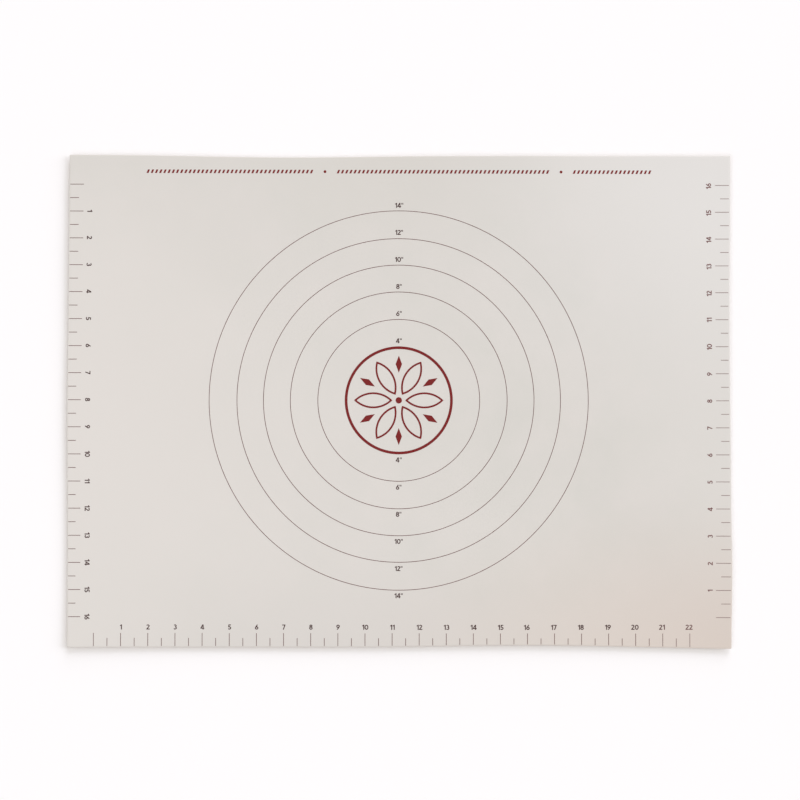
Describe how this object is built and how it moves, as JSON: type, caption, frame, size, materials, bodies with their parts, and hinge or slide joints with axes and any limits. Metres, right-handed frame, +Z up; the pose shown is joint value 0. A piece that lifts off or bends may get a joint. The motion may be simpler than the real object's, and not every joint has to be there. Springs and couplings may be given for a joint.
{
  "type": "baking mat",
  "caption": "Flat flexible silicone mat for rolling out pastry, reinforced with glass fabric and printed with inch rulers and concentric guide rings.",
  "frame": {"origin": "centre of the underside, on the surface that the mat lies on", "axes": "+X along the long side, +Y from the front ruler towards the back edge, +Z up through the printed face"},
  "size_m": [0.622, 0.462, 0.001],
  "materials": {
    "face_silicone": "matt silicone, slightly clouded",
    "grip_silicone": "satin silicone with a fine grip texture",
    "rim_silicone": "smooth silicone",
    "glass_fabric": "plain-woven glass fibre",
    "fine_ink": "matt silicone ink, dark burgundy",
    "bold_ink": "matt silicone ink, burgundy"
  },
  "bodies": {
    "root": {"edge_rim": "rim_silicone", "glass_fabric": "glass_fabric", "grip_base": "grip_silicone", "guide_ring_04in": "bold_ink", "guide_ring_06in": "fine_ink", "guide_ring_08in": "fine_ink", "guide_ring_10in": "fine_ink", "guide_ring_12in": "fine_ink", "guide_ring_14in": "fine_ink", "hatch_centre": "bold_ink", "hatch_dot_after_centre": "bold_ink", "hatch_dot_after_left": "bold_ink", "hatch_left": "bold_ink", "hatch_right": "bold_ink", "rolling_face": "face_silicone", "rosette_dot": "bold_ink", "rosette_lozenge_1": "bold_ink", "rosette_lozenge_2": "bold_ink", "rosette_lozenge_3": "bold_ink", "rosette_lozenge_4": "bold_ink", "rosette_lozenge_5": "bold_ink", "rosette_lozenge_6": "bold_ink", "rosette_petal_1": "bold_ink", "rosette_petal_2": "bold_ink", "rosette_petal_3": "bold_ink", "rosette_petal_4": "bold_ink", "rosette_petal_5": "bold_ink", "rosette_petal_6": "bold_ink", "ruler_front": "fine_ink", "ruler_left": "fine_ink", "ruler_right": "fine_ink"}
  },
  "joints": []
}
